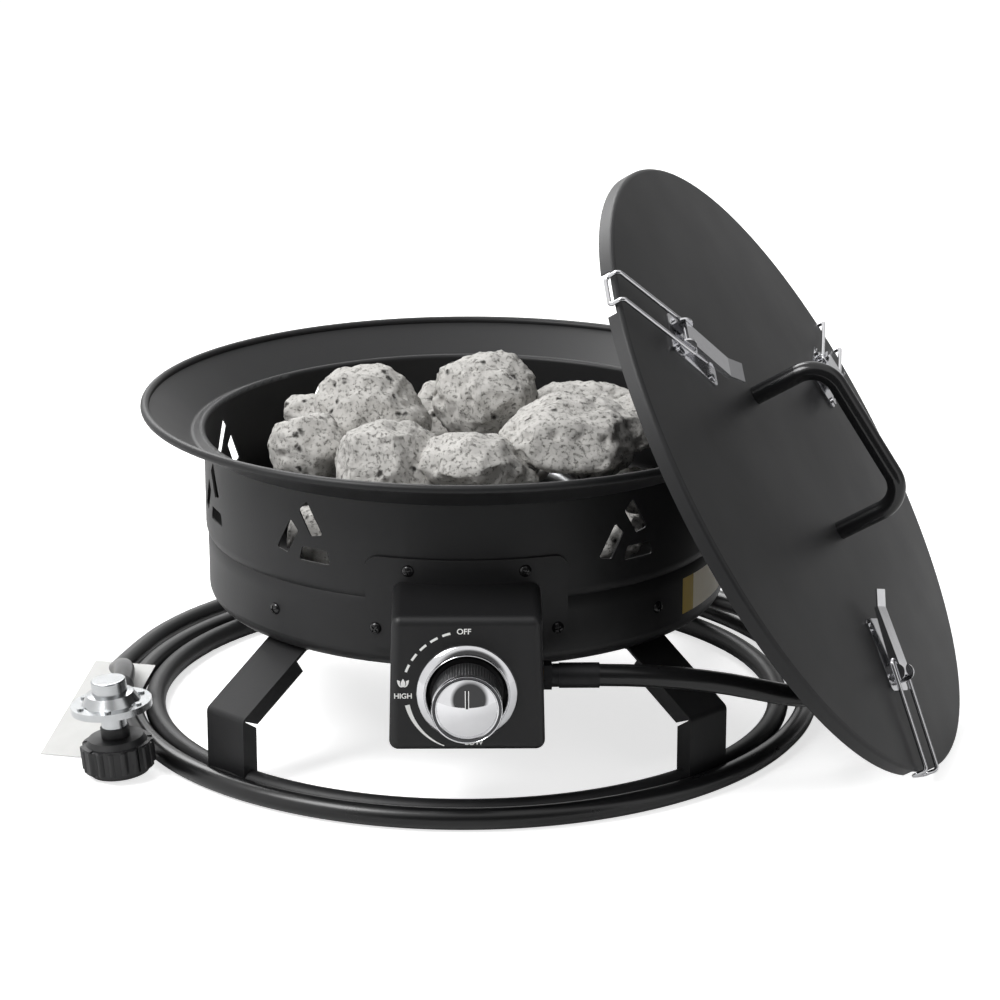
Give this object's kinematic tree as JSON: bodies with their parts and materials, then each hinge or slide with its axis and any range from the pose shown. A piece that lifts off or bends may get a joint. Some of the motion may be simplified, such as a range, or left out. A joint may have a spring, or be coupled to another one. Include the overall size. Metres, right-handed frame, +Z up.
{
  "type": "propane fire pit",
  "caption": "Portable propane fire bowl on a ring base, with lava rocks, a front control box with a push-and-turn knob, a coiled hose with regulator, and a latched lid leaning on the rim.",
  "frame": {"origin": "on the axis of the bowl, at floor level", "axes": "+Z up along the bowl axis, control box towards -Y, leaning lid towards +X"},
  "size_m": [0.687, 0.6095, 0.4167],
  "materials": {
    "black_powder_coat": "satin powder coat",
    "black_screws": "blackened steel",
    "gloss_black_tube": "gloss paint",
    "bright_chrome": "bright plating",
    "black_plastic": "moulded, fine ribs",
    "brass": "machined",
    "steel": "plain steel",
    "black_steel_ferrule": "blackened crimp",
    "hose_rubber": "smooth semi-gloss",
    "die_cast": "bright die casting",
    "tag_paper": "blank",
    "lava_stone": "pitted lava rock"
  },
  "bodies": {
    "fire_pit": {"base_pan": "black_powder_coat", "base_ring": "black_powder_coat", "bezel": "bright_chrome", "bowl_straps": "black_powder_coat", "box_screws": "black_screws", "burner_ring": "steel", "burner_stands": "steel", "control_box": "black_powder_coat", "fire_bowl": "black_powder_coat", "gas_hose": "hose_rubber", "hose_coil": "hose_rubber", "hose_collar": "black_steel_ferrule", "hose_ferrule_box": "black_steel_ferrule", "hose_ferrule_regulator": "black_steel_ferrule", "hose_tag": "tag_paper", "hose_tail": "hose_rubber", "inlet_nipple": "brass", "inlet_pipe": "brass", "lava_rocks_lower": "lava_stone", "lava_rocks_upper": "lava_stone", "leg_back_left": "black_powder_coat", "leg_back_right": "black_powder_coat", "leg_bolts": "black_screws", "leg_front_left": "black_powder_coat", "leg_front_right": "black_powder_coat", "mixer_tube": "steel", "nut_collar": "black_plastic", "pan_screws": "black_screws", "regulator_cap": "die_cast", "regulator_lower_case": "die_cast", "regulator_screws": "die_cast", "regulator_upper_case": "die_cast", "return_spring": "steel", "valve_body": "brass", "valve_screws": "steel"},
    "valve_plug": {"valve_plug": "brass"},
    "knob": {"knob": "black_plastic", "knob_cap": "bright_chrome", "valve_stem": "steel"},
    "hand_nut": {"hand_nut": "black_plastic"},
    "lid": {"lid_shell": "black_powder_coat", "lid_handle": "gloss_black_tube", "handle_bolts": "black_screws", "latch_base_1": "bright_chrome", "latch_base_2": "bright_chrome", "latch_base_3": "bright_chrome", "latch_pins": "bright_chrome", "latch_rivets": "bright_chrome"},
    "lever_1": {"latch_lever_1": "bright_chrome"},
    "bail_1": {"latch_bail_1": "bright_chrome"},
    "lever_2": {"latch_lever_2": "bright_chrome"},
    "bail_2": {"latch_bail_2": "bright_chrome"},
    "lever_3": {"latch_lever_3": "bright_chrome"},
    "bail_3": {"latch_bail_3": "bright_chrome"}
  },
  "joints": [
    {"name": "knob_turn", "type": "hinge", "parent": "fire_pit", "child": "valve_plug", "pos_m": [0, -0.25, 0.099], "axis": [0, -1, 0], "range_deg": [0, 180]},
    {"name": "knob_push", "type": "slide", "parent": "valve_plug", "child": "knob", "axis": [0, 1, 0], "range_m": [0, 0.004], "stiffness_N_per_m": 1500, "deforming": ["return_spring"]},
    {"name": "nut_spin", "type": "hinge", "parent": "fire_pit", "child": "hand_nut", "pos_m": [-0.2503, -0.1474, 0.00244], "axis": [-0.0958, 0, 0.9954], "continuous": true},
    {"name": "lid_lift", "type": "slide", "parent": "fire_pit", "child": "lid", "axis": [0, 0, 1], "range_m": [0, 0.4]},
    {"name": "lever_swing_1", "type": "hinge", "parent": "lid", "child": "lever_1", "pos_m": [0.15172, -0.16666, 0.33036], "axis": [0.0972, -0.833, -0.5447], "range_deg": [0, 150]},
    {"name": "bail_swing_1", "type": "hinge", "parent": "lever_1", "child": "bail_1", "pos_m": [0.15717, -0.16231, 0.32467], "axis": [0.0972, -0.833, -0.5447], "range_deg": [-150, 0]},
    {"name": "lever_swing_2", "type": "hinge", "parent": "lid", "child": "lever_2", "pos_m": [0.28093, 0.08337, 0.24188], "axis": [-0.5352, -0.0145, 0.8446], "range_deg": [0, 150]},
    {"name": "bail_swing_2", "type": "hinge", "parent": "lever_2", "child": "bail_2", "pos_m": [0.27956, 0.07454, 0.24086], "axis": [-0.5352, -0.0145, 0.8446], "range_deg": [-150, 0]},
    {"name": "lever_swing_3", "type": "hinge", "parent": "lid", "child": "lever_3", "pos_m": [0.30961, -0.16238, 0.08118], "axis": [0.4379, 0.8475, -0.2999], "range_deg": [0, 150]},
    {"name": "bail_swing_3", "type": "hinge", "parent": "lever_3", "child": "bail_3", "pos_m": [0.30673, -0.15825, 0.08864], "axis": [0.4379, 0.8475, -0.2999], "range_deg": [-150, 0]}
  ],
  "couplings": [
    {"joint": "bail_swing_1", "follows": "lever_swing_1", "ratio": -1},
    {"joint": "bail_swing_2", "follows": "lever_swing_2", "ratio": -1},
    {"joint": "bail_swing_3", "follows": "lever_swing_3", "ratio": -1}
  ]
}
